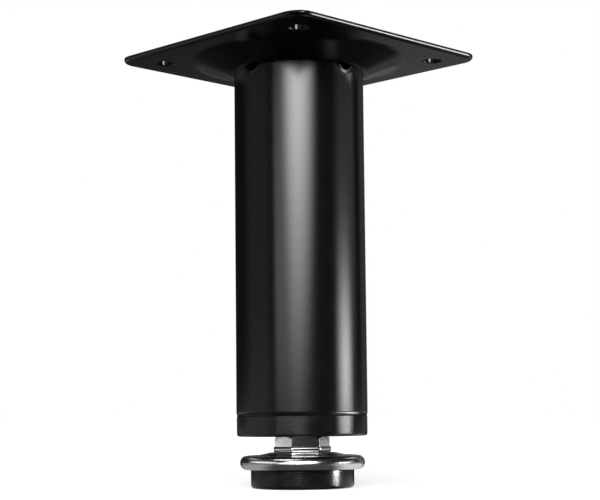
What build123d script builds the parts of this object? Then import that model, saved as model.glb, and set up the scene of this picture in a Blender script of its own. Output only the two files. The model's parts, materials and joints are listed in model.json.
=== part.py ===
from build123d import *
import os
from math import cos, pi, sin

# Adjustable furniture leg: a screw-on plate with a round tube under it, standing on a levelling
# foot that screws into the tube's lower end. Millimetres, +Z up. The origin is on the floor at
# the middle of the foot, the plate's sides run along X and Y, and the foot is screwed right in.

os.makedirs("parts", exist_ok=True)

# Whole leg
overall_height = 99.8

# Mounting plate: blanked sheet with a shallow round dish pressed down towards the tube
plate_side = 60.0
plate_thickness = 1.3
plate_corner_radius = 4.3
plate_edge_roll = 0.8
plate_burr_round = 0.45
dish_depth = 3.06
dish_diameter = 48.0
dish_inner_bend = 2.5
dish_outer_bend = 7.0
seat_land = 1.0
screw_spacing = 44.0
screw_hole_diameter = 4.4
screw_hole_roll = 0.25

# Tube, with half-round notches in its upper end that let the paint bath drain
tube_diameter = 30.0
tube_wall = 1.5
tube_top_round = 0.3
tube_roll_height = 0.9
tube_roll_inset = 0.15
notch_count = 4
notch_radius = 1.9
notch_depth = 1.1
notch_roll = 1.0

# Plastic insert that plugs the tube's lower end
flange_inset = 0.075
flange_height = 4.7
flange_bottom_round = 0.6
flange_top_chamfer = 0.2
plug_length = 14.0
plug_clearance = 0.05
plug_lead_in = 0.8
insert_bore_clearance = 0.3

# Nut pressed into the top of the insert
nut_across_flats = 13.0
nut_height = 6.5
nut_chamfer = 0.6
nut_chamfer_run = 1.0
nut_thread_clearance = 0.06
nut_pocket_clearance = 0.05

# Spindle: threaded stem, hexagon for the spanner, bulged collar and riveted lower end
thread_diameter = 8.0
thread_length = 40.0
thread_lead_in = 1.0
hex_across_flats = 11.0
hex_height = 2.3
hex_chamfer = 0.4
hex_chamfer_run = 0.7
hex_turn = -7.5
collar_bulge = 0.35
collar_height = 1.3
collar_round = 0.4
collar_corner_round = 0.8
shank_diameter = 6.0
shank_clearance = 0.08
rivet_overhang = 1.4
rivet_head_height = 1.0
rivet_head_chamfer = 0.5

# Base disc: pressed sheet with a low crown and a rim curled under
disc_sheet = 0.8
disc_diameter = 28.45
disc_crown_rise = 0.7
disc_crown_margin = 0.75
disc_shoulder_width = 3.6
disc_crown_bend = 2.0
rim_height = 3.1
rim_straight = 0.1

# Glide pad held inside the curled rim
pad_standout = 4.2
pad_inset = 2.45
pad_clearance = 0.3
pad_bottom_round = 0.7
pad_catch = 0.85
pad_flange_chamfer = 0.3
pad_recess_margin = 1.0
pad_recess_gap = 0.7

# Small gaps between pieces that turn or slide on each other
swivel_gap = 0.05
stop_gap = 0.05

# Levels above the floor
z_lip = pad_standout
z_rim_top = z_lip + rim_height
z_crown = z_rim_top + disc_crown_rise
z_collar = z_crown + swivel_gap
z_hex = z_collar + collar_height
z_hex_top = z_hex + hex_height
z_flange = z_hex_top + stop_gap
z_tube = z_flange + flange_height
z_plug_top = z_tube + plug_length
z_nut = z_plug_top - nut_height
z_plate = overall_height - plate_thickness
z_seat = z_plate - dish_depth
z_rivet_top = z_crown - disc_sheet - swivel_gap
z_rivet = z_rivet_top - rivet_head_height
z_pad_flange = z_lip + disc_sheet + swivel_gap
z_pad_top = z_rim_top - disc_sheet - swivel_gap

# Radii that several pieces share
tube_radius = tube_diameter / 2
bore_radius = tube_radius - tube_wall
thread_radius = thread_diameter / 2
shank_radius = shank_diameter / 2
seat_radius = tube_radius + seat_land
plug_radius = bore_radius - plug_clearance
flange_radius = tube_radius - flange_inset
nut_corner_radius = nut_across_flats / 2 / cos(pi / 6)
hex_corner_radius = hex_across_flats / 2 / cos(pi / 6)
collar_flat_radius = hex_across_flats / 2 + collar_bulge
rivet_head_radius = shank_radius + rivet_overhang
disc_radius = disc_diameter / 2
rim_bend = (rim_height - rim_straight) / 2
crown_radius = hex_corner_radius + collar_bulge + disc_crown_margin
shoulder_radius = disc_radius - disc_shoulder_width
pad_radius = disc_radius - pad_inset
lip_radius = pad_radius + pad_clearance

# Mounting plate. The sheet's section is turned about the axis and trimmed to the square outline.
with BuildPart() as mounting_plate:
    with BuildSketch(Plane.XZ):
        with BuildLine():
            FilletPolyline(
                (0, z_seat),
                (seat_radius, z_seat),
                (dish_diameter / 2, z_plate),
                (plate_side, z_plate),
                radius=(dish_inner_bend, dish_outer_bend),
            )
            offset(amount=plate_thickness, side=Side.LEFT)
        make_face()
    revolve(axis=Axis.Z)
    with BuildSketch(Plane.XY.offset(z_seat)):
        RectangleRounded(plate_side, plate_side, plate_corner_radius)
    extrude(amount=overall_height - z_seat, mode=Mode.INTERSECT)
    flats = mounting_plate.faces().filter_by(Plane.XY)
    underside = flats.filter_by(lambda f: f.normal_at().Z < 0).sort_by(Axis.Z)[-1]
    fillet(underside.outer_wire().edges(), plate_edge_roll)
    top = mounting_plate.faces().filter_by(Plane.XY).sort_by(Axis.Z)[-1]
    fillet(top.outer_wire().edges(), plate_burr_round)
    with BuildSketch(Plane.XY.offset(z_plate)):
        with GridLocations(screw_spacing, screw_spacing, 2, 2):
            Circle(screw_hole_diameter / 2)
    extrude(amount=plate_thickness, mode=Mode.SUBTRACT)
    flats = mounting_plate.faces().filter_by(Plane.XY)
    underside = flats.filter_by(lambda f: f.normal_at().Z < 0).sort_by(Axis.Z)[-1]
    hole_mouths = underside.inner_wires().sort_by(SortBy.LENGTH)[:-1]
    fillet(hole_mouths.edges(), screw_hole_roll)
mounting_plate.part.label = "mounting_plate"
export_step(mounting_plate.part, "parts/mounting_plate.step")

# Leg tube, turned from the section of its wall, which is rolled in a little at the lower end.
# Each notch is turned about a line out through the wall, with a flared outer mouth.
notch_axis_z = z_seat + notch_radius - notch_depth
with BuildPart() as leg_tube:
    with BuildSketch(Plane.XZ):
        with BuildLine():
            wall = FilletPolyline(
                (tube_radius - tube_roll_inset, z_tube),
                (bore_radius, z_tube),
                (bore_radius, z_seat),
                (tube_radius, z_seat),
                (tube_radius, z_tube + tube_roll_height),
                radius=(0, 0, tube_top_round),
            )
            TangentArc(wall @ 1, wall @ 0, tangent=(0, -1))
        make_face()
    revolve(axis=Axis.Z)
    for notch in range(notch_count):
        turn = 2 * pi * notch / notch_count
        across = Plane(
            origin=(0, 0, notch_axis_z),
            x_dir=(cos(turn), sin(turn), 0),
            z_dir=(sin(turn), -cos(turn), 0),
        )
        with BuildSketch(across):
            with BuildLine():
                mouth = CenterArc((tube_radius - notch_roll, notch_radius + notch_roll), notch_roll, 0, -90)
                Polyline(
                    mouth @ 1,
                    (bore_radius - tube_wall, notch_radius),
                    (bore_radius - tube_wall, 0),
                    (tube_diameter, 0),
                    (tube_diameter, notch_radius + notch_roll),
                    mouth @ 0,
                )
            make_face()
        revolve(axis=Axis(across.origin, across.x_dir), mode=Mode.SUBTRACT)
leg_tube.part.label = "leg_tube"
export_step(leg_tube.part, "parts/leg_tube.step")

# End insert: a flange the tube stands on and a plug inside the tube
with BuildPart() as end_insert:
    with BuildSketch(Plane.XY.offset(z_flange)):
        Circle(flange_radius)
    extrude(amount=flange_height)
    rim_edges = end_insert.edges().filter_by(GeomType.CIRCLE).sort_by(Axis.Z)
    fillet(rim_edges[0], flange_bottom_round)
    chamfer(end_insert.edges().filter_by(GeomType.CIRCLE).sort_by(Axis.Z)[-1], flange_top_chamfer)
    with BuildSketch(Plane.XY.offset(z_tube)):
        Circle(plug_radius)
    extrude(amount=plug_length)
    chamfer(end_insert.edges().sort_by(Axis.Z)[-1], plug_lead_in)
    with BuildSketch(Plane.XY.offset(z_flange)):
        Circle(thread_radius + insert_bore_clearance)
    extrude(amount=flange_height + plug_length, mode=Mode.SUBTRACT)
    with BuildSketch(Plane.XY.offset(z_nut)):
        RegularPolygon(nut_across_flats / 2 + nut_pocket_clearance, 6, major_radius=False)
    extrude(amount=nut_height, mode=Mode.SUBTRACT)
end_insert.part.label = "end_insert"
export_step(end_insert.part, "parts/end_insert.step")

# Captive nut, its corners turned down at both ends
with BuildPart() as captive_nut:
    with BuildSketch(Plane.XY.offset(z_nut)):
        RegularPolygon(nut_across_flats / 2, 6, major_radius=False)
        Circle(thread_radius + nut_thread_clearance, mode=Mode.SUBTRACT)
    extrude(amount=nut_height)
    with BuildSketch(Plane.XZ):
        with BuildLine():
            Polyline(
                (0, z_nut),
                (nut_corner_radius - nut_chamfer_run, z_nut),
                (nut_corner_radius, z_nut + nut_chamfer),
                (nut_corner_radius, z_plug_top - nut_chamfer),
                (nut_corner_radius - nut_chamfer_run, z_plug_top),
                (0, z_plug_top),
                close=True,
            )
        make_face()
    revolve(axis=Axis.Z, mode=Mode.INTERSECT)
captive_nut.part.label = "captive_nut"
export_step(captive_nut.part, "parts/captive_nut.step")

# Spindle, drawn from the hexagon outwards: collar, riveted shank below, threaded stem above
with BuildPart() as spindle:
    with BuildSketch(Plane.XY.offset(z_hex)):
        RegularPolygon(hex_across_flats / 2, 6, major_radius=False, rotation=hex_turn)
    extrude(amount=hex_height)
    with BuildSketch(Plane.XZ):
        with BuildLine():
            Polyline(
                (0, z_hex),
                (hex_corner_radius, z_hex),
                (hex_corner_radius, z_hex_top - hex_chamfer),
                (hex_corner_radius - hex_chamfer_run, z_hex_top),
                (0, z_hex_top),
                close=True,
            )
        make_face()
    revolve(axis=Axis.Z, mode=Mode.INTERSECT)
    with BuildSketch(Plane.XY.offset(z_collar)):
        collar_outline = RegularPolygon(collar_flat_radius, 6, major_radius=False, rotation=hex_turn)
        fillet(collar_outline.vertices(), collar_corner_round)
    extrude(amount=collar_height)
    collar_rims = spindle.edges().group_by(Axis.Z)
    fillet(collar_rims[0], collar_round)
    with BuildSketch(Plane.XY.offset(z_hex_top)):
        Circle(thread_radius)
    extrude(amount=thread_length)
    chamfer(spindle.edges().sort_by(Axis.Z)[-1], thread_lead_in)
    with BuildSketch(Plane.XY.offset(z_rivet_top)):
        Circle(shank_radius)
    extrude(amount=z_collar - z_rivet_top)
    with BuildSketch(Plane.XY.offset(z_rivet)):
        Circle(rivet_head_radius)
    extrude(amount=rivet_head_height)
    chamfer(spindle.edges().sort_by(Axis.Z)[0], rivet_head_chamfer)
spindle.part.label = "spindle"
export_step(spindle.part, "parts/spindle.step")

# Base disc, turned from the section of its sheet
with BuildPart() as base_disc:
    with BuildSketch(Plane.XZ):
        with BuildLine():
            FilletPolyline(
                (shank_radius + shank_clearance, z_crown),
                (crown_radius, z_crown),
                (shoulder_radius, z_rim_top),
                (disc_radius, z_rim_top),
                (disc_radius, z_lip),
                (lip_radius, z_lip),
                radius=(disc_crown_bend, disc_crown_bend, rim_bend, rim_bend),
            )
            offset(amount=disc_sheet, side=Side.RIGHT)
        make_face()
    revolve(axis=Axis.Z)
base_disc.part.label = "base_disc"
export_step(base_disc.part, "parts/base_disc.step")

# Glide pad: a plain puck with a flange that snaps in behind the rim's lip
with BuildPart() as glide_pad:
    with BuildSketch(Plane.XY):
        Circle(pad_radius)
    extrude(amount=z_pad_flange)
    fillet(glide_pad.edges().sort_by(Axis.Z)[0], pad_bottom_round)
    with BuildSketch(Plane.XY.offset(z_pad_flange)):
        Circle(lip_radius + pad_catch)
    extrude(amount=z_pad_top - z_pad_flange)
    chamfer(glide_pad.faces().sort_by(Axis.Z)[-1].outer_wire().edges(), pad_flange_chamfer)
    with BuildSketch(Plane.XY.offset(z_rivet - pad_recess_gap)):
        Circle(rivet_head_radius + pad_recess_margin)
    extrude(amount=z_pad_top - z_rivet + pad_recess_gap, mode=Mode.SUBTRACT)
glide_pad.part.label = "glide_pad"
export_step(glide_pad.part, "parts/glide_pad.step")
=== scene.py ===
"""Dresses and lights an adjustable furniture leg, in metres, in the frame of its solids."""

import json
import logging
from dataclasses import dataclass
from enum import Enum
from math import atan2, cos, hypot, pi, radians, sin, tan

import bmesh
import bpy
from mathutils import Matrix, Vector

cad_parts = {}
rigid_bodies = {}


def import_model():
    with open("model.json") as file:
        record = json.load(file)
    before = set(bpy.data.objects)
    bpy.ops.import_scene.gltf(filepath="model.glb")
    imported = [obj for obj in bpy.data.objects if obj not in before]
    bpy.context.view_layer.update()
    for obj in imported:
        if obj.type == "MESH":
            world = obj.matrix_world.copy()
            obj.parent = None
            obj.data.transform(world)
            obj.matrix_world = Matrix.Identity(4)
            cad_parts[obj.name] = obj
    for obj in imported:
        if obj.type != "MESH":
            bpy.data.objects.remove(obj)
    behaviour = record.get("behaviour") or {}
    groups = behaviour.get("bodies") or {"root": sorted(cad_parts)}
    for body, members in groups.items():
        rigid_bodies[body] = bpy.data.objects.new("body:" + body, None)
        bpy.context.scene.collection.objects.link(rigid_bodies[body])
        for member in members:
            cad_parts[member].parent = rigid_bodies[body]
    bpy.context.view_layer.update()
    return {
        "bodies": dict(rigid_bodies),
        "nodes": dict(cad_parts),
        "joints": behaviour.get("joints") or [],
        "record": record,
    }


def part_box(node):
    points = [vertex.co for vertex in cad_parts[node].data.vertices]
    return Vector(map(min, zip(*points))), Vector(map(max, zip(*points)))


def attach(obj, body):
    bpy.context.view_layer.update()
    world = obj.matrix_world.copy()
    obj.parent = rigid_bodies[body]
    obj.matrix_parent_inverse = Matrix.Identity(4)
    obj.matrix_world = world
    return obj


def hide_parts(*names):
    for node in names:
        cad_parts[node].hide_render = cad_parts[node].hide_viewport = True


log = logging.getLogger("furniture_leg")

MM = 0.001
UNIT = (0.0, 1.0)
FALL = (1.0, 0.0)
NOISE_SPAN = (0.3, 0.7)
COAT_IOR = 1.5
SHARP_ANGLE = radians(32)
WELD_DISTANCE = 1e-7
LEAST_FADE = 0.001
LAMP_MIDDLE = 0.5
UPWARDS = Vector((0, 0, 1))

PLATE = ("mounting_plate",)
TUBE = ("notched_tube",)
DISC = ("pressed_disc",)
PAD = ("glide_puck",)

Point = tuple[float, float]
Steps = tuple[float, float, float]
Colour = tuple[float, float, float]


class Body(Enum):
    """The bodies that move against each other."""

    FOOT = "foot"
    SPINDLE = "spindle"
    LEG = "leg"


class Slot(Enum):
    """The finishes that the record names."""

    POWDER = "black_powder_coat"
    PLASTIC = "black_plastic"
    BRIGHT = "bright_plate"
    ZINC = "zinc_steel"


class Glow(Enum):
    """How a lamp's light falls off towards its edges."""

    PANEL = "panel"
    OVAL = "oval"


class Screen(Enum):
    """What a lamp's screen does for the pieces that it names."""

    FLAG = "EXCLUDE"
    SNOOT = "INCLUDE"


class NodeGraph:
    """The node tree of a material, lamp or world, with short calls to add and join nodes."""

    def __init__(self, tree: bpy.types.NodeTree) -> None:
        """Starts from an empty tree.

        Args:
            tree: the tree to fill.
        """
        self.tree = tree
        tree.nodes.clear()

    def add(self, kind: str, inputs: dict | None = None, **settings: object) -> bpy.types.Node:
        """Adds a node.

        Args:
            kind: the node's type, without its ShaderNode prefix.
            inputs: a value, or another node's socket, for each input by name or number.
            settings: the node's own properties.

        Returns:
            The new node.
        """
        node = self.tree.nodes.new("ShaderNode" + kind)
        for name, value in settings.items():
            setattr(node, name, value)
        for name, value in (inputs or {}).items():
            if isinstance(value, bpy.types.NodeSocket):
                self.tree.links.new(value, node.inputs[name])
            else:
                node.inputs[name].default_value = value
        return node

    def noise(
        self, where: bpy.types.NodeSocket, size: float, detail: float = 2.0
    ) -> bpy.types.NodeSocket:
        """Adds a noise whose lumps have about the given size.

        Args:
            where: the coordinates, in metres.
            size: the size of a lump, in metres.
            detail: how many finer octaves it has.

        Returns:
            The noise's factor, about 0.5 on average.
        """
        inputs = {"Vector": where, "Scale": 1 / size, "Detail": detail}
        return self.add("TexNoise", inputs).outputs["Fac"]

    def remap(
        self, value: bpy.types.NodeSocket, source: Point, target: Point, smooth: bool = False
    ) -> bpy.types.NodeSocket:
        """Maps one range of values to another, clamped at both ends.

        Args:
            value: the value to map.
            source: the range that it comes from.
            target: the range that it goes to.
            smooth: whether it eases in and out.

        Returns:
            The mapped value.
        """
        ends = {"Value": value, 1: source[0], 2: source[1], 3: target[0], 4: target[1]}
        kind = "SMOOTHSTEP" if smooth else "LINEAR"
        return self.add("MapRange", ends, interpolation_type=kind).outputs["Result"]

    def math(self, kind: str, *values: object) -> bpy.types.NodeSocket:
        """Adds one sum.

        Args:
            kind: the operation.
            values: numbers or sockets.

        Returns:
            The result.
        """
        return self.add("Math", dict(enumerate(values)), operation=kind).outputs[0]

    def window(
        self, value: bpy.types.NodeSocket, rise: Point, fall: Point
    ) -> bpy.types.NodeSocket:
        """Picks out a range of values, eased at both ends.

        Args:
            value: the value to test.
            rise: where the range opens.
            fall: where it closes.

        Returns:
            1 inside the range, 0 outside.
        """
        opening = self.remap(value, rise, UNIT, smooth=True)
        return self.math("MULTIPLY", opening, self.remap(value, fall, FALL, smooth=True))

    def dot(self, vector: bpy.types.NodeSocket, way: Vector) -> bpy.types.NodeSocket:
        """Returns how far a vector reaches along a direction."""
        product = self.add("VectorMath", {0: vector, 1: way}, operation="DOT_PRODUCT")
        return product.outputs["Value"]

    def length(self, vector: bpy.types.NodeSocket) -> bpy.types.NodeSocket:
        """Returns a vector's length."""
        return self.add("VectorMath", {0: vector}, operation="LENGTH").outputs["Value"]

    def blend(
        self, factor: bpy.types.NodeSocket, low: object, high: object
    ) -> bpy.types.NodeSocket:
        """Mixes two colours.

        Args:
            factor: 0 for low, 1 for high.
            low: a colour or a socket.
            high: a colour or a socket.

        Returns:
            The mixed colour.
        """
        mix = self.add("Mix", data_type="RGBA")
        for name, value in (("Factor_Float", factor), ("A_Color", low), ("B_Color", high)):
            socket = next(s for s in mix.inputs if s.identifier == name)
            if isinstance(value, bpy.types.NodeSocket):
                self.tree.links.new(value, socket)
            else:
                socket.default_value = (*value, 1.0)
        return next(s for s in mix.outputs if s.identifier == "Result_Color")

    def bumps(self, *layers: tuple[bpy.types.NodeSocket, float]) -> bpy.types.NodeSocket:
        """Stacks bump layers.

        Args:
            layers: for each layer its height, 0 to 1, and how deep a height of 1 is, in metres.

        Returns:
            The bumped normal.
        """
        normal = None
        for height, depth in layers:
            node = self.add("Bump", {"Height": height, "Distance": depth, "Strength": 1.0})
            if normal is not None:
                self.tree.links.new(normal, node.inputs["Normal"])
            normal = node.outputs["Normal"]
        return normal

    def metres(self) -> bpy.types.NodeSocket:
        """Returns the place on the piece, in metres."""
        return self.add("TexCoord").outputs["Object"]


class Finish:
    """What every finish can do: give its material once and dress pieces with it."""

    slot: Slot

    def surface(self, graph: NodeGraph) -> bpy.types.Node:
        """Fills the graph and returns its shader node; each finish has its own."""
        raise NotImplementedError

    def material(self) -> bpy.types.Material:
        """Makes the material, or finds it where it was made before.

        Returns:
            The material.
        """
        name = f"{self.slot.value}_{type(self).__name__.lower()}"
        found = bpy.data.materials.get(name)
        if found is not None:
            return found
        made = bpy.data.materials.new(name)
        made.use_nodes = True
        graph = NodeGraph(made.node_tree)
        shader = self.surface(graph)
        graph.add("OutputMaterial", {"Surface": shader.outputs[0]})
        return made

    def dress(self, piece: bpy.types.Object) -> None:
        """Gives a piece this finish all over.

        Args:
            piece: a CAD node or a new piece.
        """
        piece.data.materials.clear()
        piece.data.materials.append(self.material())


@dataclass(frozen=True)
class PowderCoat(Finish):
    """Satin black powder coat: a dense grain, a faint orange peel and a few pale specks."""

    slot: Slot = Slot.POWDER
    shade: Colour = (0.003, 0.003, 0.0032)
    lighter: Colour = (0.0048, 0.0048, 0.005)
    speck: Colour = (0.09, 0.09, 0.09)
    speck_spacing: float = 2.2 * MM
    speck_reach: float = 0.05
    speck_share: float = 0.9
    grain: float = 0.2 * MM
    grain_depth: float = 0.009 * MM
    grain_detail: float = 0.0
    peel: float = 2.5 * MM
    peel_depth: float = 0.006 * MM
    roughness: Point = (0.15, 0.19)

    def surface(self, graph: NodeGraph) -> bpy.types.Node:
        """Builds the coat.

        Args:
            graph: the material's graph.

        Returns:
            The shader.
        """
        place = graph.metres()
        grain = graph.noise(place, self.grain, self.grain_detail)
        peel = graph.noise(place, self.peel)
        cells = graph.add("TexVoronoi", {"Vector": place, "Scale": 1 / self.speck_spacing})
        near = graph.remap(cells.outputs["Distance"], (0.0, self.speck_reach), FALL)
        pick = graph.add("SeparateColor", {"Color": cells.outputs["Color"]}).outputs["Red"]
        picked = graph.math("GREATER_THAN", pick, self.speck_share)
        specks = graph.math("MULTIPLY", near, picked)
        body = graph.blend(graph.remap(peel, NOISE_SPAN, UNIT), self.shade, self.lighter)
        return graph.add("BsdfPrincipled", {
            "Base Color": graph.blend(specks, body, self.speck),
            "Roughness": graph.remap(grain, NOISE_SPAN, self.roughness),
            "IOR": COAT_IOR,
            "Normal": graph.bumps((peel, self.peel_depth), (grain, self.grain_depth)),
        })


@dataclass(frozen=True)
class MouldedPlastic(Finish):
    """Black moulded plastic with the fine spark-eroded grain of its mould."""

    slot: Slot = Slot.PLASTIC
    shade: Colour = (0.005, 0.005, 0.005)
    lighter: Colour = (0.009, 0.009, 0.009)
    grain: float = 0.22 * MM
    grain_depth: float = 0.008 * MM
    cloud: float = 3.0 * MM
    cloud_detail: float = 4.0
    roughness: Point = (0.1, 0.16)

    def relief(self, graph: NodeGraph, place: bpy.types.NodeSocket) -> list:
        """Lists the bump layers.

        Args:
            graph: the material's graph.
            place: the coordinates in metres.

        Returns:
            Pairs of height and depth.
        """
        cells = {"Vector": place, "Scale": 1 / self.grain}
        craters = graph.add("TexVoronoi", cells, feature="SMOOTH_F1")
        return [(craters.outputs["Distance"], self.grain_depth)]

    def surface(self, graph: NodeGraph) -> bpy.types.Node:
        """Builds the plastic.

        Args:
            graph: the material's graph.

        Returns:
            The shader.
        """
        place = graph.metres()
        cloud = graph.noise(place, self.cloud, self.cloud_detail)
        pale = graph.remap(cloud, NOISE_SPAN, UNIT)
        return graph.add("BsdfPrincipled", {
            "Base Color": graph.blend(pale, self.shade, self.lighter),
            "Roughness": graph.remap(cloud, NOISE_SPAN, self.roughness),
            "IOR": COAT_IOR,
            "Normal": graph.bumps(*self.relief(graph, place)),
        })


@dataclass(frozen=True)
class TurnedPlastic(MouldedPlastic):
    """The pad's plastic, with the fine rings that its turned mould left round the side."""

    ring_pitch: float = 0.45 * MM
    ring_depth: float = 0.0025 * MM

    def relief(self, graph: NodeGraph, place: bpy.types.NodeSocket) -> list:
        """Lists the bump layers, the rings first.

        Args:
            graph: the material's graph.
            place: the coordinates in metres.

        Returns:
            Pairs of height and depth.
        """
        height = graph.add("SeparateXYZ", {"Vector": place}).outputs["Z"]
        turns = graph.math("MULTIPLY", height, 2 * pi / self.ring_pitch)
        rings = graph.remap(graph.math("SINE", turns), (-1.0, 1.0), UNIT)
        return [(rings, self.ring_depth), *super().relief(graph, place)]


@dataclass(frozen=True)
class BrightPlate(Finish):
    """Bright plated steel, a little uneven under the plating."""

    slot: Slot = Slot.BRIGHT
    shade: Colour = (0.74, 0.74, 0.75)
    lighter: Colour = (0.82, 0.82, 0.83)
    ripple: float = 0.9 * MM
    ripple_depth: float = 0.006 * MM
    pit: float = 0.25 * MM
    pit_depth: float = 0.003 * MM
    pit_detail: float = 3.0
    roughness: Point = (0.04, 0.1)

    def surface(self, graph: NodeGraph) -> bpy.types.Node:
        """Builds the plating.

        Args:
            graph: the material's graph.

        Returns:
            The shader.
        """
        place = graph.metres()
        ripple = graph.noise(place, self.ripple)
        pits = graph.noise(place, self.pit, self.pit_detail)
        pale = graph.remap(pits, NOISE_SPAN, UNIT)
        return graph.add("BsdfPrincipled", {
            "Base Color": graph.blend(pale, self.shade, self.lighter),
            "Metallic": 1.0,
            "Roughness": graph.remap(pits, NOISE_SPAN, self.roughness),
            "Normal": graph.bumps((ripple, self.ripple_depth), (pits, self.pit_depth)),
        })


@dataclass(frozen=True)
class SatinPlate(BrightPlate):
    """The disc's plating, a little duller and speckled where the sheet was drawn."""

    ripple_depth: float = 0.008 * MM
    pit: float = 0.4 * MM
    pit_depth: float = 0.014 * MM
    roughness: Point = (0.14, 0.22)


@dataclass(frozen=True)
class ZincPlate(BrightPlate):
    """The nut's duller zinc plating."""

    slot: Slot = Slot.ZINC
    shade: Colour = (0.5, 0.5, 0.48)
    lighter: Colour = (0.64, 0.64, 0.62)
    roughness: Point = (0.28, 0.42)


def bearings(azimuth: float) -> tuple[Vector, Vector]:
    """Returns the directions right and ahead for someone who faces the leg from an azimuth."""
    right = Vector((cos(azimuth), sin(azimuth), 0))
    return right, Vector((-sin(azimuth), cos(azimuth), 0))


def rounded_path(
    corners: list[Point], radii: list[float], steps: int = 10
) -> list[tuple[Point, Point]]:
    """Rounds the inner corners of a line, with a short run beside each round to keep flats flat.

    Args:
        corners: the line's corners.
        radii: one radius for each corner between the ends, 0 for a sharp one.
        steps: how many runs a round of 90 degrees gets.

    Returns:
        The points with their normals, which point to the left of the line.
    """
    guard = 0.02 * MM
    path: list[tuple[Point, Point]] = []
    dirs = []
    for (ax, ay), (bx, by) in zip(corners, corners[1:]):
        run = hypot(bx - ax, by - ay)
        dirs.append(((bx - ax) / run, (by - ay) / run))
    path.append((corners[0], (-dirs[0][1], dirs[0][0])))
    for (cx, cy), radius, (ux, uy), (vx, vy) in zip(corners[1:-1], radii, dirs, dirs[1:]):
        left_in = (-uy, ux)
        left_out = (-vy, vx)
        turn = atan2(ux * vy - uy * vx, ux * vx + uy * vy)
        if radius <= 0:
            path.append(((cx, cy), left_in))
            path.append(((cx, cy), left_out))
            continue
        back = radius * tan(abs(turn) / 2)
        side = 1 if turn > 0 else -1
        start = (cx - ux * back, cy - uy * back)
        centre = (start[0] + side * radius * left_in[0], start[1] + side * radius * left_in[1])
        path.append(((start[0] - ux * guard, start[1] - uy * guard), left_in))
        count = max(2, round(steps * abs(turn) / (pi / 2)))
        for step in range(count + 1):
            angle = turn * step / count
            nx = left_in[0] * cos(angle) - left_in[1] * sin(angle)
            ny = left_in[0] * sin(angle) + left_in[1] * cos(angle)
            point = (centre[0] - side * radius * nx, centre[1] - side * radius * ny)
            path.append((point, (nx, ny)))
        stop = path[-1][0]
        path.append(((stop[0] + vx * guard, stop[1] + vy * guard), left_out))
    path.append((corners[-1], (-dirs[-1][1], dirs[-1][0])))
    return path


def loft(name: str, rows: list[list[Vector]], closed: bool = False) -> bpy.types.Object:
    """Skins rings of equal count into a piece, capping the ends of an open stack.

    Args:
        name: the piece's name.
        rows: the rings, each a closed loop, in order.
        closed: whether the last ring joins the first.

    Returns:
        The piece, smooth but for the edges where its faces meet at a steep angle.
    """
    mesh = bpy.data.meshes.new(name)
    work = bmesh.new()
    rings = [[work.verts.new(point) for point in row] for row in rows]
    pairs = list(zip(rings, rings[1:]))
    if closed:
        pairs.append((rings[-1], rings[0]))
    for low, high in pairs:
        for k in range(len(low)):
            n = (k + 1) % len(low)
            work.faces.new((low[k], low[n], high[n], high[k]))
    if not closed:
        work.faces.new(list(reversed(rings[0])))
        work.faces.new(rings[-1])
    bmesh.ops.remove_doubles(work, verts=work.verts, dist=WELD_DISTANCE)
    bmesh.ops.recalc_face_normals(work, faces=work.faces)
    work.to_mesh(mesh)
    work.free()
    mesh.shade_smooth()
    mesh.set_sharp_from_angle(angle=SHARP_ANGLE)
    piece = bpy.data.objects.new(name, mesh)
    bpy.context.scene.collection.objects.link(piece)
    return piece


def ring(radius: float, height: float, angles: list[float]) -> list[Vector]:
    """Returns a ring of points about the leg's axis, one at each angle."""
    return [Vector((radius * cos(a), radius * sin(a), height)) for a in angles]


def even_angles(count: int) -> list[float]:
    """Returns the angles of a full turn in equal steps."""
    return [2 * pi * k / count for k in range(count)]


def settle(piece: bpy.types.Object, node: str, body: Body, finish: Finish) -> bpy.types.Object:
    """Lets a piece stand for a CAD node, on its body and with a finish.

    Args:
        piece: the new piece.
        node: the node that it replaces.
        body: the body that it rides on.
        finish: its finish.

    Returns:
        The piece.
    """
    finish.dress(piece)
    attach(piece, body.value)
    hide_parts(node)
    log.info("%s: %d faces in place of %s", piece.name, len(piece.data.polygons), node)
    return piece


def dress_node(frame: dict, node: str, finish: Finish) -> bpy.types.Object:
    """Keeps a CAD node's own shape and gives it a finish.

    Args:
        node: the node's name.
        finish: its finish.

    Returns:
        The node's object.
    """
    piece = frame["nodes"][node]
    finish.dress(piece)
    log.info("%s: solid kept, dressed in %s", node, type(finish).__name__)
    return piece


class SubAssembly:
    """What main asks of every sub-assembly."""

    def build(self, frame: dict) -> None:
        """Builds and dresses the pieces; each sub-assembly has its own."""
        raise NotImplementedError


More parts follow.
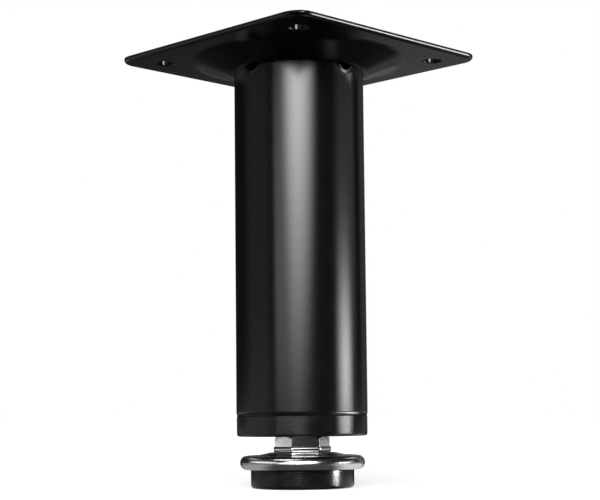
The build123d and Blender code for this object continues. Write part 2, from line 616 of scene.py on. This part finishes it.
@dataclass
class WeldedLeg(SubAssembly):
    """The pressed plate and the notched tube welded under it."""

    wall: float = 1.5 * MM
    roll_height: float = 0.9 * MM
    roll_inset: float = 0.15 * MM
    notch_count: int = 4
    notch_radius: float = 1.9 * MM
    notch_depth: float = 1.1 * MM
    lip_rise: float = 0.14 * MM
    lip_width: float = 1.3 * MM
    edge_round: float = 0.12 * MM
    lip_round: float = 0.4 * MM
    lip_blend: float = 1.5
    crown_zone: float = 5.0 * MM
    crown_rows: int = 44
    crown_ease: float = 1.7
    roll_rows: int = 8
    columns: int = 720
    coat: PowderCoat = PowderCoat()

    def build(self, frame: dict) -> None:
        """Dresses the plate and builds the tube.
        """
        dress_node(frame, "mounting_plate", self.coat)
        settle(self.tube(), "leg_tube", Body.LEG, self.coat)

    def tube(self) -> bpy.types.Object:
        """Skins the tube up its outside and down its bore, with a lip turned out at each notch.

        Returns:
            The tube.
        """
        low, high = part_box("leg_tube")
        radius = high.x
        bore = radius - self.wall
        angles = even_angles(self.columns)
        axis = high.z + self.notch_radius - self.notch_depth
        zone = high.z - self.crown_zone
        sway = [self.notch_offset(angle, radius) for angle in angles]
        tops = [self.rim_height(offset, axis, high.z) for offset in sway]

        def row(points: list[Point]) -> list[Vector]:
            """Returns a ring from a radius and a height for each column."""
            return [Vector((r * cos(a), r * sin(a), z)) for a, (r, z) in zip(angles, points)]

        rows = []
        bend = (self.roll_height ** 2 + self.roll_inset ** 2) / (2 * self.roll_inset)
        for step in range(self.roll_rows + 1):
            drop = self.roll_height * (1 - step / self.roll_rows)
            reach = radius - bend + (bend ** 2 - drop ** 2) ** 0.5
            rows.append(row([(reach, low.z + self.roll_height - drop)] * self.columns))
        rows.append(row([(radius, zone)] * self.columns))
        for step in range(1, self.crown_rows + 1):
            share = 1 - (1 - step / self.crown_rows) ** self.crown_ease
            rows.append(row([
                self.skin(radius, zone + (top - zone) * share, offset, axis, top)
                for offset, top in zip(sway, tops)
            ]))
        rows.append(row([(bore, top) for top in tops]))
        rows.append(row([(bore, zone)] * self.columns))
        rows.append(row([(bore, low.z)] * self.columns))
        return loft("notched_tube", rows, closed=True)

    def notch_offset(self, angle: float, radius: float) -> float:
        """Returns how far round the tube a column is from the nearest notch."""
        pitch = 2 * pi / self.notch_count
        return radius * sin((angle + pitch / 2) % pitch - pitch / 2)

    def rim_height(self, offset: float, axis: float, seat: float) -> float:
        """Works out where a column of the tube ends.

        Args:
            offset: how far it is from the notch's middle.
            axis: the height of the notch's centre.
            seat: the height of the plate's underside.

        Returns:
            The height of the column's upper end.
        """
        if abs(offset) >= self.notch_radius:
            return seat
        return min(seat, axis - (self.notch_radius ** 2 - offset ** 2) ** 0.5)

    def skin(self, radius: float, height: float, offset: float, axis: float, top: float) -> Point:
        """Places one point of the outer wall near the tube's upper end.

        Args:
            radius: the tube's radius.
            height: the point's height.
            offset: how far it is from the notch's middle.
            axis: the height of the notch's centre.
            top: where its column ends.

        Returns:
            Its distance from the tube's axis, and its height.
        """
        from_notch = hypot(offset, height - axis) - self.notch_radius
        lip = max(0.0, 1 - from_notch / self.lip_width)
        swell = self.lip_rise * lip * lip * (3 - 2 * lip)
        widening = min(1.0, lip * self.lip_blend)
        edge = self.edge_round + (self.lip_round - self.edge_round) * widening
        depth = min(top - height, max(from_notch, 0.0))
        cut = 0.0
        if depth < edge:
            cut = edge - (edge ** 2 - (edge - depth) ** 2) ** 0.5
        return radius + swell - cut, height


@dataclass
class TubeEnd(SubAssembly):
    """The insert in the tube's lower end and the nut in it."""

    plastic: MouldedPlastic = MouldedPlastic()
    zinc: ZincPlate = ZincPlate()

    def build(self, frame: dict) -> None:
        """Dresses the insert and the nut.
        """
        dress_node(frame, "end_insert", self.plastic)
        dress_node(frame, "captive_nut", self.zinc)


@dataclass
class LevellingFoot(SubAssembly):
    """The spindle, the pressed disc and the glide pad."""

    sheet: float = 0.8 * MM
    crown_rise: float = 0.7 * MM
    crown_margin: float = 0.75 * MM
    shoulder_width: float = 3.6 * MM
    crown_bend: float = 2.0 * MM
    rim_bend: float = 1.5 * MM
    shank_clearance: float = 0.08 * MM
    pad_inset: float = 2.45 * MM
    pad_clearance: float = 0.3 * MM
    pad_round: float = 0.7 * MM
    pad_flange_chamfer: float = 0.3 * MM
    swivel_gap: float = 0.05 * MM
    recess_margin: float = 1.0 * MM
    recess_gap: float = 0.7 * MM
    pad_middle: float = 0.05 * MM
    bend_steps: int = 20
    segments: int = 240
    pitch: float = 1.25 * MM
    thread_radius: float = 4.0 * MM
    thread_depth: float = 0.72 * MM
    thread_length: float = 40.0 * MM
    thread_root: float = 0.25
    thread_flank: float = 0.3125
    rows_per_turn: int = 12
    lead_in: float = 1.0 * MM
    hex_flats: float = 11.0 * MM
    hex_height: float = 2.3 * MM
    hex_chamfer: float = 0.4 * MM
    hex_chamfer_run: float = 0.7 * MM
    hex_edge: float = 0.18 * MM
    hex_crown: float = 0.08 * MM
    hex_turn: float = radians(-7.5)
    hex_rows: tuple[float, ...] = (0.0, 0.03, 0.97, 1.0)
    arc_steps: int = 6
    flat_steps: int = 12
    round_steps: int = 8
    collar_bulge: float = 0.35 * MM
    collar_height: float = 1.3 * MM
    collar_round: float = 0.4 * MM
    collar_corner: float = 0.8 * MM
    shank_radius: float = 3.0 * MM
    rivet_radius: float = 4.4 * MM
    rivet_height: float = 1.0 * MM
    rivet_chamfer: float = 0.5 * MM
    tip_radius: float = 0.02 * MM
    plating: BrightPlate = BrightPlate()
    satin: SatinPlate = SatinPlate()
    plastic: TurnedPlastic = TurnedPlastic()

    def build(self, frame: dict) -> None:
        """Builds the three pieces, which stand for all the foot's nodes.
        """
        settle(self.disc(), "base_disc", Body.FOOT, self.satin)
        settle(self.pad(), "glide_pad", Body.FOOT, self.plastic)
        settle(self.spindle(), "spindle", Body.SPINDLE, self.plating)

    def disc(self) -> bpy.types.Object:
        """Turns the disc from the line of its upper face, thickened by the sheet.

        Returns:
            The disc.
        """
        low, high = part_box("base_disc")
        rim_top = high.z - self.crown_rise
        collar_reach = self.hex_flats / 2 / cos(pi / 6) + self.collar_bulge
        path = rounded_path(
            [
                (self.shank_radius + self.shank_clearance, high.z),
                (collar_reach + self.crown_margin, high.z),
                (high.x - self.shoulder_width, rim_top),
                (high.x, rim_top),
                (high.x, low.z),
                (high.x - self.pad_inset + self.pad_clearance, low.z),
            ],
            [self.crown_bend, self.crown_bend, self.rim_bend, self.rim_bend],
            steps=self.bend_steps,
        )
        outline = [point for point, _ in path]
        inner = [(x - self.sheet * nx, z - self.sheet * nz) for (x, z), (nx, nz) in path]
        outline += reversed(inner)
        angles = even_angles(self.segments)
        return loft("pressed_disc", [ring(r, z, angles) for r, z in outline], closed=True)

    def pad(self) -> bpy.types.Object:
        """Turns the pad, from the middle of its underside round to the recess in its top.

        Returns:
            The pad.
        """
        low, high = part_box("glide_pad")
        disc_low, disc_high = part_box("base_disc")
        radius = disc_high.x - self.pad_inset
        step = disc_low.z + self.sheet + self.swivel_gap
        chamfer = self.pad_flange_chamfer
        recess_radius = self.rivet_radius + self.recess_margin
        recess_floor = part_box("spindle")[0].z - self.recess_gap
        path = rounded_path(
            [
                (self.pad_middle, low.z),
                (radius, low.z),
                (radius, step),
                (high.x, step),
                (high.x, high.z - chamfer),
                (high.x - chamfer, high.z),
                (recess_radius, high.z),
                (recess_radius, recess_floor),
                (self.pad_middle, recess_floor),
            ],
            [self.pad_round, 0, 0, 0, 0, 0, 0],
        )
        angles = even_angles(self.segments)
        return loft("glide_puck", [ring(r, z, angles) for (r, z), _ in path])

    def hexagon(self, flat_radius: float, corner: float) -> list[Point]:
        """Draws a hexagon with rounded corners.

        Args:
            flat_radius: from the middle to a flat.
            corner: the radius of its corners.

        Returns:
            Its points, the same number for every size.
        """
        reach = (flat_radius - corner) / cos(pi / 6)
        points: list[Point] = []
        for side in range(6):
            middle = self.hex_turn + side * pi / 3
            centre = (reach * cos(middle), reach * sin(middle))
            for step in range(self.arc_steps + 1):
                angle = middle - pi / 6 + pi / 3 * step / self.arc_steps
                points.append((centre[0] + corner * cos(angle), centre[1] + corner * sin(angle)))
            after = middle + pi / 3
            face = middle + pi / 6
            start = points[-1]
            stop = (
                reach * cos(after) + corner * cos(face),
                reach * sin(after) + corner * sin(face),
            )
            for step in range(1, self.flat_steps):
                share = step / self.flat_steps
                bow = 4 * self.hex_crown * share * (1 - share)
                points.append((
                    start[0] + (stop[0] - start[0]) * share + bow * cos(face),
                    start[1] + (stop[1] - start[1]) * share + bow * sin(face),
                ))
        return points

    def spindle(self) -> bpy.types.Object:
        """Skins the spindle from the rivet head up to the end of the thread.

        Returns:
            The spindle.
        """
        low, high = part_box("spindle")
        z_hex_top = high.z - self.thread_length
        z_hex = z_hex_top - self.hex_height
        z_collar = z_hex - self.collar_height
        z_rivet_top = low.z + self.rivet_height
        outline = self.hexagon(self.hex_flats / 2, self.hex_edge)
        angles = [atan2(y, x) for x, y in outline]

        def prism(inset: float, height: float) -> list[Vector]:
            """Returns the collar's outline, drawn in by an inset."""
            flat = self.hex_flats / 2 + self.collar_bulge - inset
            return [Vector((x, y, height)) for x, y in self.hexagon(flat, self.collar_corner)]

        turned = [
            (self.tip_radius, low.z),
            (self.rivet_radius - self.rivet_chamfer, low.z),
            (self.rivet_radius, low.z + self.rivet_chamfer),
            (self.rivet_radius, z_rivet_top),
            (self.shank_radius, z_rivet_top),
            (self.shank_radius, z_collar),
        ]
        rows = [ring(radius, height, angles) for radius, height in turned]
        quarter = [pi / 2 * step / self.round_steps for step in range(self.round_steps + 1)]
        for angle in quarter:
            inset = self.collar_round * (1 - sin(angle))
            rows.append(prism(inset, z_collar + self.collar_round * (1 - cos(angle))))
        for angle in quarter:
            inset = self.collar_bulge * (1 - cos(angle))
            rows.append(prism(inset, z_hex - self.collar_bulge * (1 - sin(angle))))
        for share in self.hex_rows:
            height = z_hex + (self.hex_height - self.hex_chamfer) * share
            rows.append([Vector((x, y, height)) for x, y in outline])
        corner = self.hex_flats / 2 / cos(pi / 6)
        for step in range(1, self.round_steps + 1):
            share = step / self.round_steps
            limit = corner - self.hex_chamfer_run * share
            lift = UPWARDS * (z_hex_top - self.hex_chamfer * (1 - share))
            rows.append([
                Vector((x, y, 0)) * min(1.0, limit / hypot(x, y)) + lift for x, y in outline
            ])
        rows.append(ring(self.thread_radius - self.thread_depth, z_hex_top, angles))
        rows += self.thread(angles, z_hex_top, high.z)
        rows.append(ring(self.tip_radius, high.z, angles))
        return loft("threaded_spindle", rows)

    def thread(self, angles: list[float], bottom: float, top: float) -> list[list[Vector]]:
        """Winds a right-hand thread with flat crests and roots.

        Args:
            angles: the angles of the columns.
            bottom: where the stem starts.
            top: where it ends, after its lead-in.

        Returns:
            The rings of the stem.
        """
        count = round((top - bottom) / self.pitch * self.rows_per_turn)
        root = self.thread_radius - self.thread_depth
        rows = []
        for row in range(1, count + 1):
            height = bottom + (top - bottom) * row / count
            crest = min(self.thread_radius, self.thread_radius - self.lead_in + top - height)
            points = []
            for angle in angles:
                phase = ((height - bottom) / self.pitch - angle / (2 * pi)) % 1.0
                climb = (abs(phase - 0.5) - self.thread_root / 2) / self.thread_flank
                rise = min(1.0, max(0.0, climb))
                radius = min(root + self.thread_depth * rise, crest)
                points.append(Vector((radius * cos(angle), radius * sin(angle), height)))
            rows.append(points)
        return rows


@dataclass(frozen=True)
class Lamp:
    """A soft box that faces the leg and is brightest inside its edges.

    Azimuths are counted from the camera's side of the leg, to its right. Distance and level
    place the box's middle, and a lean below 0 tips it down. Sides and ends are the shares of its
    width and height that it fades over. A flagged piece gets no light from it, and where it
    names snooted pieces, nothing else gets any.
    """

    name: str
    azimuth: float
    distance: float
    level: float
    width: float
    height: float
    lean: float
    radiance: float
    sides: Point = (0.0, 0.0)
    ends: Point = (0.0, 0.0)
    glow: Glow = Glow.PANEL
    spread: float = 180.0
    flagged: tuple[str, ...] = ()
    snooted: tuple[str, ...] = ()

    def build(self, camera_azimuth: float, frame: dict) -> bpy.types.Object:
        """Stands the lamp in the scene.

        Args:
            camera_azimuth: the camera's own azimuth, in radians.

        Returns:
            The lamp.
        """
        light = bpy.data.lights.new(self.name, "AREA")
        light.shape = "RECTANGLE"
        light.size = self.width
        light.size_y = self.height
        light.energy = self.radiance * pi * self.width * self.height
        light.spread = radians(self.spread)
        self.fade(light)
        lamp = bpy.data.objects.new(self.name, light)
        turn = camera_azimuth + radians(self.azimuth)
        tilt = radians(self.lean)
        outward = -bearings(turn)[1]
        back = outward * cos(tilt) - UPWARDS * sin(tilt)
        lamp.location = outward * self.distance + UPWARDS * self.level
        lamp.rotation_euler = back.to_track_quat("Z", "Y").to_euler()
        lamp.visible_camera = False
        bpy.context.scene.collection.objects.link(lamp)
        for names, screen in ((self.flagged, Screen.FLAG), (self.snooted, Screen.SNOOT)):
            if names:
                pieces = [frame["nodes"].get(name) or bpy.data.objects[name] for name in names]
                self.screen(lamp, pieces, screen)
        log.info("lamp %s", self.name)
        return lamp

    def screen(
        self, lamp: bpy.types.Object, pieces: list[bpy.types.Object], screen: Screen
    ) -> None:
        """Screens the lamp, so that its light doesn't reach some pieces, or reaches only them.

        Args:
            lamp: the lamp.
            pieces: the pieces.
            screen: a flag keeps the light off them, a snoot lets it reach nothing else.
        """
        screened = bpy.data.collections.new(f"{self.name}_flag")
        for piece in pieces:
            screened.objects.link(piece)
        lamp.light_linking.receiver_collection = screened
        for member in screened.collection_objects:
            member.light_linking.link_state = screen.value

    def fade(self, light: bpy.types.AreaLight) -> None:
        """Lets the light fall off towards its edges.

        Args:
            light: the lamp's light.
        """
        light.use_nodes = True
        graph = NodeGraph(light.node_tree)
        place = graph.add("NewGeometry").outputs["Parametric"]
        if self.glow is Glow.OVAL:
            ends = {0: place, 1: (LAMP_MIDDLE, LAMP_MIDDLE, 0.0)}
            reach = graph.add("VectorMath", ends, operation="DISTANCE").outputs["Value"]
            strength = graph.remap(reach, (0.0, LAMP_MIDDLE), FALL, smooth=True)
        else:
            axes = graph.add("SeparateXYZ", {0: place}).outputs
            strength = graph.math("MULTIPLY", *(
                graph.window(
                    axes[axis],
                    (0.0, max(low, LEAST_FADE)),
                    (1.0 - max(high, LEAST_FADE), 1.0),
                )
                for axis, (low, high) in (("X", self.sides), ("Y", self.ends))
            ))
        shader = graph.add("Emission", {"Strength": strength})
        graph.add("OutputLight", {"Surface": shader.outputs[0]})


@dataclass
class Studio:
    """A pale floor under soft boxes, with a white background.

    The glow fields are how bright the camera sees the floor. The mirror and corner fields are a
    painted reflection: how bright gloss and metal see the floor near the foot, beside, behind and
    far behind the leg is painted by place. The backdrop fields are where the white background
    shows in reflections.
    """

    camera_azimuth: float
    floor_radius: float = 8.0
    floor_segments: int = 96
    floor_drop: float = 0.02 * MM
    floor_albedo: float = 0.5
    floor_bounce: float = 0.02
    glow_near: float = 0.7
    glow_far: float = 1.0
    glow_reach: Point = (0.02, 0.5)
    # painted reflection: the mirror and corner fields set how bright the floor looks in gloss and
    # metal, place by place
    mirror_front: float = 0.012
    mirror_foot: float = 0.05
    mirror_left: Steps = (0.3, 0.1, 0.5)
    mirror_right: Steps = (0.7, 0.04, 0.0)
    mirror_behind: Point = (0.03, 0.17)
    mirror_far: Point = (0.07, 0.15)
    mirror_slope: float = 0.03
    foot_reach: Point = (0.02, 0.07)
    side_turn: Point = (0.6, 0.95)
    side_near: Point = (0.045, 0.08)
    side_far: Point = (0.2, 0.32)
    behind_start: Point = (0.24, 0.33)
    behind_end: Point = (0.42, 0.62)
    behind_rise: Point = (-0.02, 0.07)
    far_turn: Point = (-0.25, 0.0)
    slope_turn: Point = (0.12, 0.24)
    corner_glow: float = 0.35
    corner_turn: tuple[Point, Point] = ((0.2, 0.35), (0.8, 0.9))
    corner_reach: tuple[Point, Point] = ((0.13, 0.18), (0.5, 0.7))
    ambient: float = 0.015
    backdrop_turn: Point = (0.3, 0.75)
    backdrop_rise: Point = (0.4, 0.7)
    lamps: tuple[Lamp, ...] = (
        # name, azimuth, distance, level, width, height, lean and radiance, then the rest by name
        Lamp("front_box", -1.5, 1.0, 0.44, 1.4, 0.96, -14.0, 16.0, glow=Glow.OVAL, flagged=PLATE),
        Lamp("front_fill", -19.5, 1.0, 0.17, 0.98, 0.34, 0.0, 1.65,
             sides=(0.04, 0.45), ends=(0.08, 0.0), flagged=PLATE),
        Lamp("plate_glint", 23.0, 1.0, 0.36, 0.38, 0.24, -15.0, 15.0,
             sides=(0.2, 0.2), snooted=PLATE),
        Lamp("plate_soft", 0.0, 1.2, 0.55, 1.6, 0.9, -22.0, 0.35, ends=(0.5, 0.5), snooted=PLATE),
        Lamp("plate_edge", 87.7, 0.25, 0.06, 0.16, 0.08, 0.0, 14.0,
             sides=(0.15, 0.15), snooted=PLATE),
        Lamp("left_fill", -88.0, 1.5, 0.6, 1.9, 1.2, -15.0, 0.17, sides=(0.5, 0.03)),
        Lamp("left_high", -80.0, 0.9, 0.3, 1.5, 0.36, -14.0, 1.1,
             sides=(0.3, 0.2), ends=(0.2, 0.4), snooted=DISC),
        Lamp("right_strip", 81.5, 1.0, 0.085, 0.8, 0.17, 0.0, 18.0,
             sides=(0.5, 0.5), ends=(0.0, 0.97), flagged=DISC),
        Lamp("ring_right", 81.5, 1.0, 0.085, 0.8, 0.17, 0.0, 5.0,
             sides=(0.5, 0.5), ends=(0.0, 0.97), snooted=DISC),
        Lamp("right_low", 83.0, 0.075, 0.003, 0.1, 0.006, 13.0, 7.5,
             sides=(0.5, 0.5), spread=90.0, snooted=TUBE),
        Lamp("pad_glint", 80.0, 0.12, 0.003, 0.2, 0.006, 7.5, 2.6,
             sides=(0.45, 0.45), spread=24.0, snooted=PAD),
        Lamp("right_fill", 88.0, 0.8, 0.17, 0.8, 0.26, 0.0, 0.35, sides=(0.2, 0.2)),
        Lamp("right_back", 140.0, 1.0, 0.25, 0.4, 0.5, 0.0, 0.12),
        Lamp("back_glow", 176.0, 1.5, 0.22, 0.9, 0.44, 0.0, 0.15, sides=(0.0, 0.6)),
        Lamp("rear_box", 170.0, 0.8, 0.95, 0.8, 0.5, -48.0, 1.5),
        Lamp("top_box", -60.0, 0.41, 1.18, 0.6, 0.6, -70.0, 2.0),
    )

    def build(self, frame: dict) -> None:
        """Builds the floor, the world and the lamps.
        """
        self.floor()
        self.world()
        for lamp in self.lamps:
            lamp.build(self.camera_azimuth, frame)

    def mirrored(self, graph: NodeGraph, place: bpy.types.NodeSocket) -> bpy.types.NodeSocket:
        """Paints the floor's reflection: how bright metal and gloss see the floor, set by place,
        darkest in front of the leg.

        Args:
            graph: the floor's graph.
            place: the place on the floor, in metres.

        Returns:
            The strength, where 1 is white.
        """
        right, ahead = bearings(self.camera_azimuth)
        across = graph.dot(place, right)
        along = graph.dot(place, ahead)
        reach = graph.length(place)
        turn = graph.math("DIVIDE", across, reach)
        near, far = self.side_turn
        front = (self.mirror_foot, self.mirror_front)
        beside = graph.remap(reach, self.foot_reach, front, smooth=True)
        for edge, steps in (((-near, -far), self.mirror_left), ((near, far), self.mirror_right)):
            side = graph.remap(turn, edge, UNIT, smooth=True)
            strength = graph.math(
                "ADD",
                graph.remap(reach, self.side_near, steps[:2], smooth=True),
                graph.remap(reach, self.side_far, (0.0, steps[2]), smooth=True),
            )
            beside = graph.math("MULTIPLY_ADD", side, strength, beside)
        behind = graph.remap(across, self.behind_rise, self.mirror_behind, smooth=True)
        slope = (self.mirror_far[1], self.mirror_slope)
        distant = graph.math(
            "MINIMUM",
            graph.remap(turn, self.far_turn, self.mirror_far, smooth=True),
            graph.remap(turn, self.slope_turn, slope, smooth=True),
        )
        shade = beside
        for next_shade, border in ((behind, self.behind_start), (distant, self.behind_end)):
            share = graph.remap(along, border, UNIT, smooth=True)
            kept = graph.math("MULTIPLY", shade, graph.math("SUBTRACT", 1.0, share))
            shade = graph.math("MULTIPLY_ADD", next_shade, share, kept)
        # painted reflection: a brighter patch behind the leg on both sides, seen only by gloss and
        # metal
        corner = graph.math(
            "MULTIPLY",
            graph.window(graph.math("DIVIDE", along, reach), *self.corner_turn),
            graph.window(reach, *self.corner_reach),
        )
        return graph.math("MULTIPLY_ADD", corner, self.corner_glow, shade)

    def floor(self) -> bpy.types.Object:
        """Lays the floor.

        Returns:
            The floor.
        """
        mesh = bpy.data.meshes.new("floor")
        work = bmesh.new()
        bmesh.ops.create_circle(
            work, cap_ends=True, segments=self.floor_segments, radius=self.floor_radius
        )
        work.to_mesh(mesh)
        work.free()
        floor = bpy.data.objects.new("floor", mesh)
        bpy.context.scene.collection.objects.link(floor)
        floor.location.z = -self.floor_drop
        material = bpy.data.materials.new("pale_floor")
        material.use_nodes = True
        graph = NodeGraph(material.node_tree)
        place = graph.metres()
        path = graph.add("LightPath").outputs
        glow = (self.glow_near, self.glow_far)
        brightness = graph.remap(graph.length(place), self.glow_reach, glow)
        seen = graph.math("MULTIPLY", path["Is Camera Ray"], brightness)
        # painted reflection: glossy rays see the floor at a strength painted by place, not the
        # lamps' light on it
        mirrored = graph.math("MULTIPLY", path["Is Glossy Ray"], self.mirrored(graph, place))
        total = graph.math("ADD", graph.math("ADD", seen, mirrored), path["Is Transmission Ray"])
        shine = graph.add("Emission", {"Strength": total})
        pale = graph.blend(path["Is Camera Ray"], [self.floor_bounce] * 3, [self.floor_albedo] * 3)
        body = graph.add("BsdfDiffuse", {"Color": pale})
        both = graph.add("AddShader", {0: body.outputs[0], 1: shine.outputs[0]})
        graph.add("OutputMaterial", {"Surface": both.outputs[0]})
        mesh.materials.append(material)
        log.info("floor laid")
        return floor

    def world(self) -> None:
        """Makes the surroundings white to look at, dim to light with and dark to reflect.

        Only the part above and behind the leg is white in reflections too.
        """
        world = bpy.data.worlds.new("surroundings")
        bpy.context.scene.world = world
        world.use_nodes = True
        graph = NodeGraph(world.node_tree)
        path = graph.add("LightPath").outputs
        white = graph.math("MAXIMUM", path["Is Camera Ray"], path["Is Transmission Ray"])
        way = graph.add("TexCoord").outputs["Generated"]
        along = graph.dot(way, bearings(self.camera_azimuth)[1])
        rise = graph.add("SeparateXYZ", {0: way}).outputs["Z"]
        backdrop = graph.math(
            "MULTIPLY",
            graph.remap(along, self.backdrop_turn, UNIT, smooth=True),
            graph.remap(rise, self.backdrop_rise, UNIT, smooth=True),
        )
        mirrored = graph.math("MULTIPLY", path["Is Glossy Ray"], backdrop)
        strength = graph.math("MAXIMUM", graph.math("MAXIMUM", white, mirrored), self.ambient)
        shader = graph.add("Background", {"Color": (1.0, 1.0, 1.0, 1.0), "Strength": strength})
        graph.add("OutputWorld", {"Surface": shader.outputs[0]})
        log.info("surroundings set")


@dataclass
class PhotoCamera:
    """A camera close to the floor, in front of one corner of the plate, looking slightly up."""

    azimuth: float = radians(44.95)
    distance: float = 338.54 * MM
    height: float = 16.5 * MM
    sideways: float = -0.186 * MM
    pitch: float = radians(4.842)
    roll: float = radians(0.575)
    lens: float = 88.488
    sensor: float = 36.0
    shift_up: float = 0.0666
    clip: Point = (0.01, 50.0)

    def build(self) -> bpy.types.Object:
        """Places the camera and makes it the scene's own.

        Returns:
            The camera.
        """
        data = bpy.data.cameras.new("photo_camera")
        data.lens = self.lens
        data.sensor_width = self.sensor
        data.shift_y = self.shift_up
        data.clip_start, data.clip_end = self.clip
        camera = bpy.data.objects.new("photo_camera", data)
        right, ahead = bearings(self.azimuth)
        up = UPWARDS * cos(self.pitch) - ahead * sin(self.pitch)
        back = -(ahead * cos(self.pitch) + UPWARDS * sin(self.pitch))
        x_axis = right * cos(self.roll) - up * sin(self.roll)
        y_axis = right * sin(self.roll) + up * cos(self.roll)
        turn = Matrix((x_axis, y_axis, back)).transposed().to_4x4()
        place = right * self.sideways - ahead * self.distance + UPWARDS * self.height
        camera.matrix_world = Matrix.Translation(place) @ turn
        bpy.context.scene.collection.objects.link(camera)
        bpy.context.scene.camera = camera
        log.info("camera placed")
        return camera


def main() -> None:
    """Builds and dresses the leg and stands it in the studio."""
    logging.basicConfig(level=logging.INFO, format="%(name)s: %(message)s")
    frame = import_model()
    bpy.context.scene.view_settings.view_transform = "Standard"
    camera = PhotoCamera()
    camera.build()
    for assembly in (WeldedLeg(), TubeEnd(), LevellingFoot()):
        assembly.build(frame)
        log.info("%s done", type(assembly).__name__)
    Studio(camera.azimuth).build(frame)


if __name__ == "__main__":
    main()
